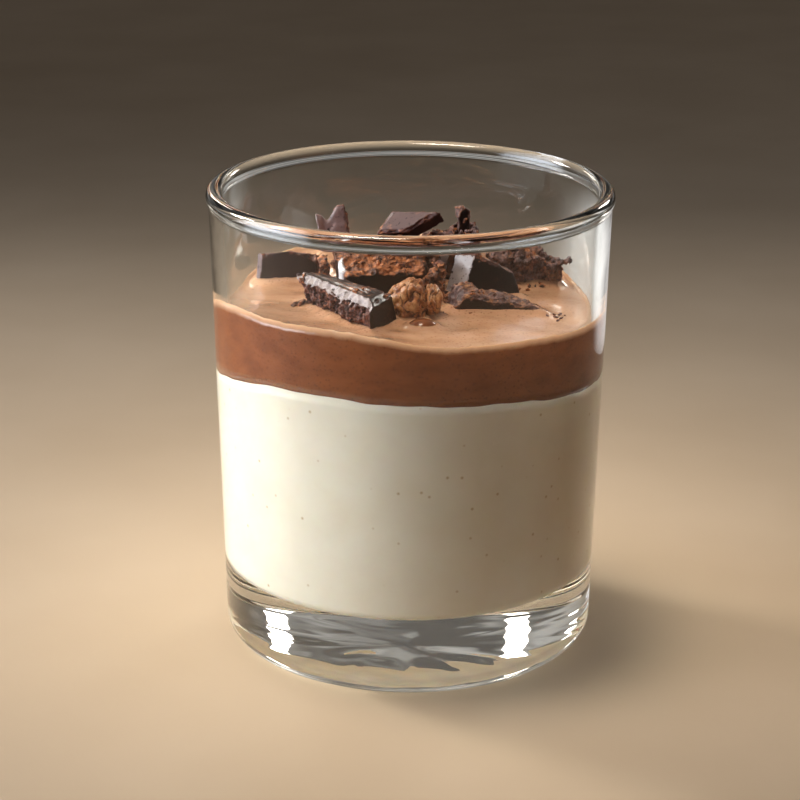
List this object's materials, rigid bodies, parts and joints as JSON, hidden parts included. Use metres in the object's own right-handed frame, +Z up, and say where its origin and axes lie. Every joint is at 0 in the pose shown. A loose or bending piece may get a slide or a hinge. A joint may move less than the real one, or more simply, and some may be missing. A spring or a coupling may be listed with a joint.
{
  "type": "layered chocolate mousse dessert in a glass",
  "caption": "Clear straight-sided tumbler with ivory cream below, chocolate mousse above and a heap of broken dark chocolate with a nut cluster on top.",
  "frame": {"origin": "middle of the tumbler's standing ring, on the surface it stands on", "axes": "+Z up along the tumbler's axis, -Y towards the viewer, +X to the viewer's right"},
  "size_m": [0.08, 0.08, 0.0929],
  "materials": {
    "glass": "clear pressed soda-lime glass, fire-polished rim",
    "cream": "smooth set cream, ivory, with small air specks",
    "mousse": "soft milk-brown chocolate mousse with a wet sheen",
    "chocolate": "dark chocolate, satin where moulded, rough where snapped",
    "broken_chocolate": "snapped dark chocolate dusted with cocoa",
    "nut": "crinkled roasted nut cluster, golden brown"
  },
  "bodies": {
    "root": {"glass": "glass", "cream": "cream", "mousse": "mousse", "bar_front": "chocolate", "block_left": "chocolate", "block_middle": "chocolate", "wedge_right": "chocolate", "slab_right": "chocolate", "sliver_right": "chocolate", "chunk_behind": "chocolate", "plate_back": "chocolate", "shard_back_left": "chocolate", "shard_top": "chocolate", "chip_front": "chocolate", "chunk_centre": "chocolate", "shard_left": "broken_chocolate", "rubble_right": "broken_chocolate", "chunk_far_right": "broken_chocolate", "rough_back": "broken_chocolate", "rest_back": "broken_chocolate", "splinter_back": "broken_chocolate", "nugget": "nut"}
  },
  "joints": []
}
